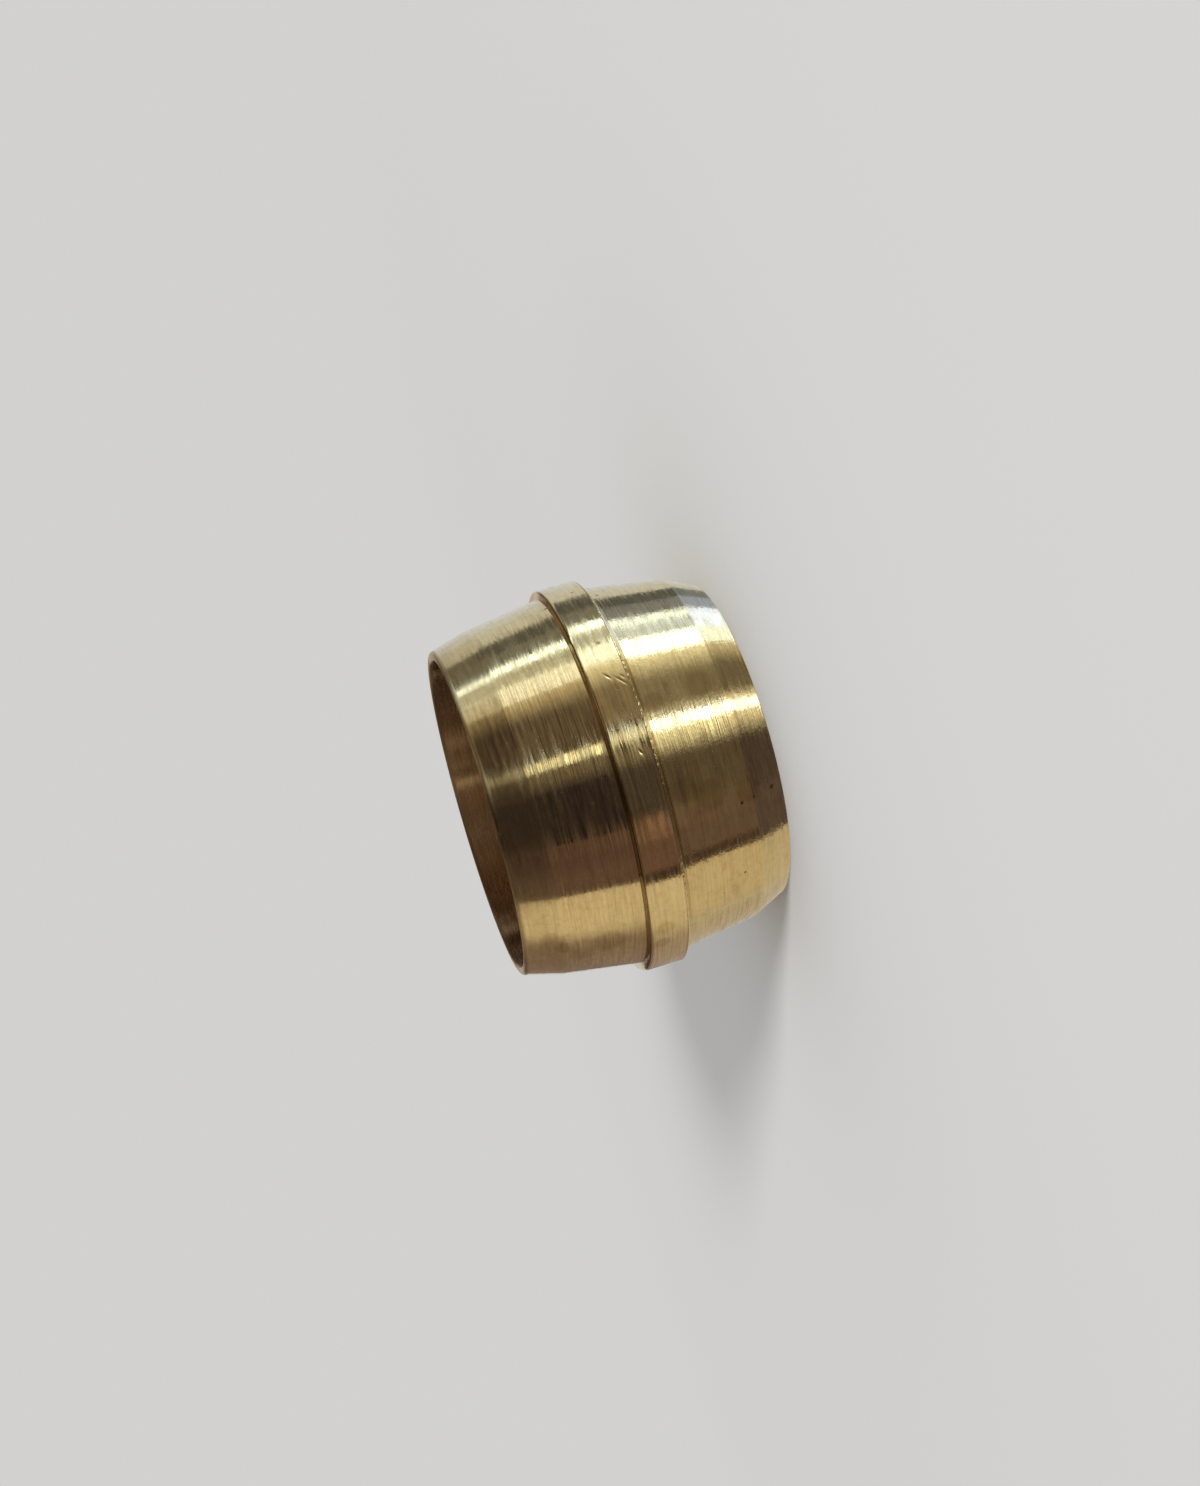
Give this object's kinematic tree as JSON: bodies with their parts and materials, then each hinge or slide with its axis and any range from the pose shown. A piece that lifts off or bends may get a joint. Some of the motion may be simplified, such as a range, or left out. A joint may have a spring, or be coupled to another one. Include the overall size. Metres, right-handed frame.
{
  "type": "hose ferrule",
  "caption": "Turned brass hose ferrule: a thin-ended sleeve with a long taper each side of a raised stop band, open right through.",
  "frame": {"origin": "centre of the foot end's face, on the bore's axis", "axes": "+Z along the bore from the foot end, with its steeper lead-in taper, to the mouth end that the sharp shoulder faces; X and Y are any two square directions, because the part is round"},
  "size_m": [0.024, 0.024, 0.0165],
  "materials": {
    "turned_brass": "bright turned brass with fine circular tool marks and light brown handling tarnish"
  },
  "bodies": {
    "root": {"ferrule": "turned_brass"}
  },
  "joints": []
}
